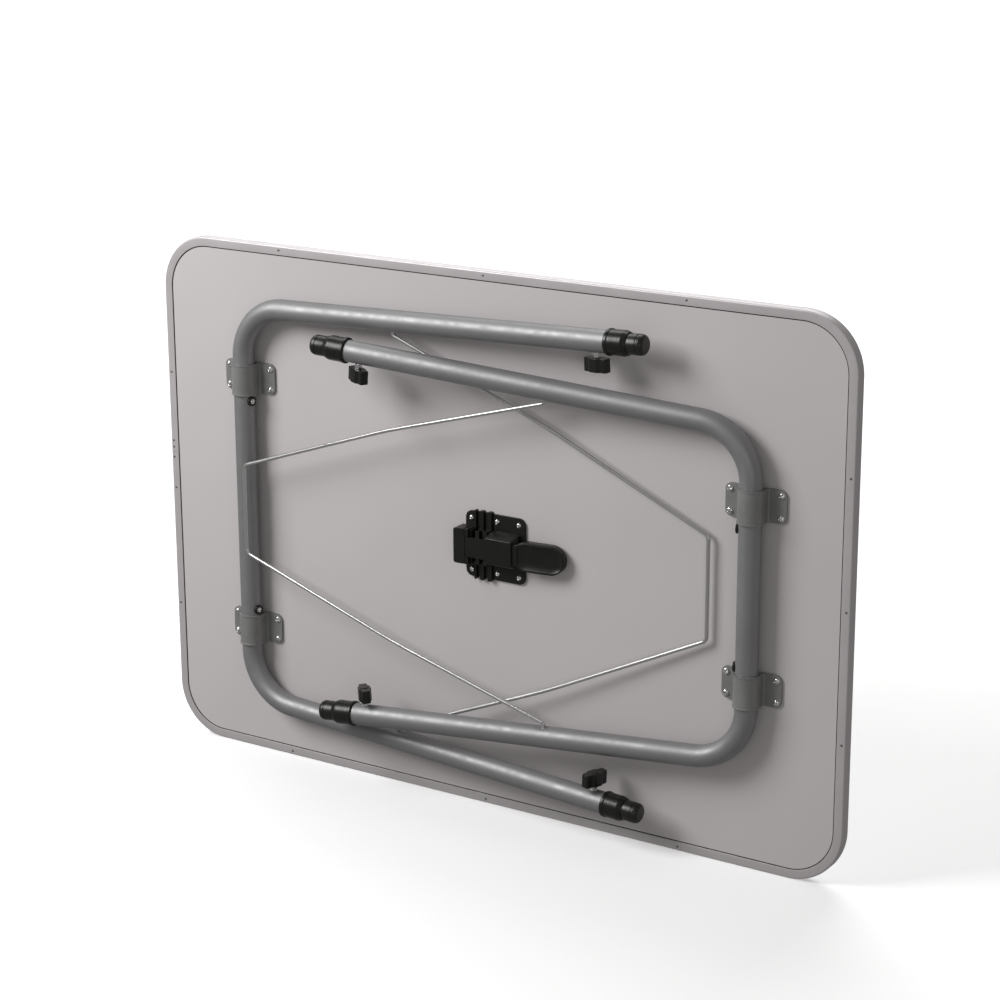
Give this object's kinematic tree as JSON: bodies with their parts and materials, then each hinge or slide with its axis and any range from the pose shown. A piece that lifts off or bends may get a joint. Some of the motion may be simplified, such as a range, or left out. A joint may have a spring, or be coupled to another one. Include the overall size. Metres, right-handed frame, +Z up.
{
  "type": "folding camping table",
  "caption": "Folding table with a flat edge-trimmed top, two hinged tube leg frames with telescopic feet, wire braces and a centre latch, folded flat.",
  "frame": {"origin": "middle of the flat outer face of the lower long edge, in the middle of the panel thickness; the folded table stands on it", "axes": "+X along the table towards the narrow frame hinge, +Y out of the table top face (the underside faces -Y), +Z up across the table width"},
  "size_m": [1.01, 0.0908, 0.7],
  "materials": {
    "core": "raw board",
    "top_laminate": "satin laminate",
    "under_laminate": "matte laminate",
    "channel": "satin anodised",
    "rivet": "satin",
    "saddle_plastic": "moulded matte",
    "screw": "bright zinc",
    "latch_plastic": "satin",
    "leg_tube": "satin silver",
    "inner_tube": "satin",
    "black_plastic": "satin gloss",
    "foot_rubber": "satin",
    "wire": "zinc plated"
  },
  "bodies": {
    "tabletop": {"top_core": "core", "top_skin": "top_laminate", "under_skin": "under_laminate", "edge_channel": "channel", "edge_joiner": "channel", "rim_rivets": "rivet", "wide_saddle_upper": "saddle_plastic", "wide_saddle_lower": "saddle_plastic", "narrow_saddle_upper": "saddle_plastic", "narrow_saddle_lower": "saddle_plastic", "saddle_screws": "screw", "latch_base": "latch_plastic", "latch_cover": "latch_plastic", "latch_screws": "screw"},
    "latch_bolt": {"latch_bolt": "latch_plastic"},
    "wide_frame": {"wide_tube": "leg_tube", "wide_stop_screws": "screw", "wide_stop_washers": "black_plastic", "wide_collars": "black_plastic", "wide_clamp_nuts": "screw"},
    "wide_brace": {"wide_brace": "wire"},
    "wide_inner_leg_upper": {"wide_inner_upper": "inner_tube", "wide_foot_upper": "foot_rubber"},
    "wide_clamp_knob_upper": {"wide_knob_upper": "black_plastic", "wide_knob_screw_upper": "screw"},
    "wide_inner_leg_lower": {"wide_inner_lower": "inner_tube", "wide_foot_lower": "foot_rubber"},
    "wide_clamp_knob_lower": {"wide_knob_lower": "black_plastic", "wide_knob_screw_lower": "screw"},
    "narrow_frame": {"narrow_tube": "leg_tube", "narrow_stop_screws": "screw", "narrow_stop_washers": "black_plastic", "narrow_collars": "black_plastic", "narrow_clamp_nuts": "screw"},
    "narrow_brace": {"narrow_brace": "wire"},
    "narrow_inner_leg_upper": {"narrow_inner_upper": "inner_tube", "narrow_foot_upper": "foot_rubber"},
    "narrow_clamp_knob_upper": {"narrow_knob_upper": "black_plastic", "narrow_knob_screw_upper": "screw"},
    "narrow_inner_leg_lower": {"narrow_inner_lower": "inner_tube", "narrow_foot_lower": "foot_rubber"},
    "narrow_clamp_knob_lower": {"narrow_knob_lower": "black_plastic", "narrow_knob_screw_lower": "screw"}
  },
  "joints": [
    {"name": "wide_frame_fold", "type": "hinge", "parent": "tabletop", "child": "wide_frame", "pos_m": [-0.364, -0.023, 0.35], "axis": [0, 0, -1], "range_deg": [0, 87.8]},
    {"name": "narrow_frame_fold", "type": "hinge", "parent": "tabletop", "child": "narrow_frame", "pos_m": [0.3805, -0.023, 0.35], "axis": [0, 0, 1], "range_deg": [0, 85.61]},
    {"name": "wide_brace_fold", "type": "hinge", "parent": "wide_frame", "child": "wide_brace", "pos_m": [-0.11818, -0.03244, 0.35], "axis": [0, 0, 1], "range_deg": [0, 121.06]},
    {"name": "narrow_brace_fold", "type": "hinge", "parent": "narrow_frame", "child": "narrow_brace", "pos_m": [0.1103, -0.04379, 0.35], "axis": [0, 0, -1], "range_deg": [0, 121.36]},
    {"name": "wide_leg_slide_upper", "type": "slide", "parent": "wide_frame", "child": "wide_inner_leg_upper", "axis": [0.9983, -0.0384, 0.043], "range_m": [0, 0.12]},
    {"name": "wide_leg_slide_lower", "type": "slide", "parent": "wide_frame", "child": "wide_inner_leg_lower", "axis": [0.9983, -0.0384, -0.043], "range_m": [0, 0.12]},
    {"name": "narrow_leg_slide_upper", "type": "slide", "parent": "narrow_frame", "child": "narrow_inner_leg_upper", "axis": [-0.9949, -0.0766, 0.0659], "range_m": [0, 0.148]},
    {"name": "narrow_leg_slide_lower", "type": "slide", "parent": "narrow_frame", "child": "narrow_inner_leg_lower", "axis": [-0.9949, -0.0766, -0.0659], "range_m": [0, 0.148]},
    {"name": "wide_knob_turn_upper", "type": "hinge", "parent": "wide_frame", "child": "wide_clamp_knob_upper", "pos_m": [0.1831, -0.04402, 0.64154], "axis": [0.0429, -0.0016, -0.9991], "range_deg": [-180, 180]},
    {"name": "wide_knob_turn_lower", "type": "hinge", "parent": "wide_frame", "child": "wide_clamp_knob_lower", "pos_m": [0.1831, -0.04402, 0.05846], "axis": [0.0429, -0.0016, 0.9991], "range_deg": [-180, 180]},
    {"name": "narrow_knob_turn_upper", "type": "hinge", "parent": "narrow_frame", "child": "narrow_clamp_knob_upper", "pos_m": [-0.14794, -0.06366, 0.59038], "axis": [-0.0657, -0.0051, -0.9978], "range_deg": [-180, 180]},
    {"name": "narrow_knob_turn_lower", "type": "hinge", "parent": "narrow_frame", "child": "narrow_clamp_knob_lower", "pos_m": [-0.14794, -0.06366, 0.10962], "axis": [-0.0657, -0.0051, 0.9978], "range_deg": [-180, 180]},
    {"name": "latch_bolt_slide", "type": "slide", "parent": "tabletop", "child": "latch_bolt", "axis": [1, 0, 0], "range_m": [0, 0.028]}
  ],
  "couplings": [
    {"joint": "narrow_frame_fold", "follows": "wide_frame_fold", "ratio": 0.97494},
    {"joint": "wide_brace_fold", "follows": "wide_frame_fold", "ratio": 1.3786},
    {"joint": "narrow_brace_fold", "follows": "wide_frame_fold", "ratio": 1.382}
  ]
}
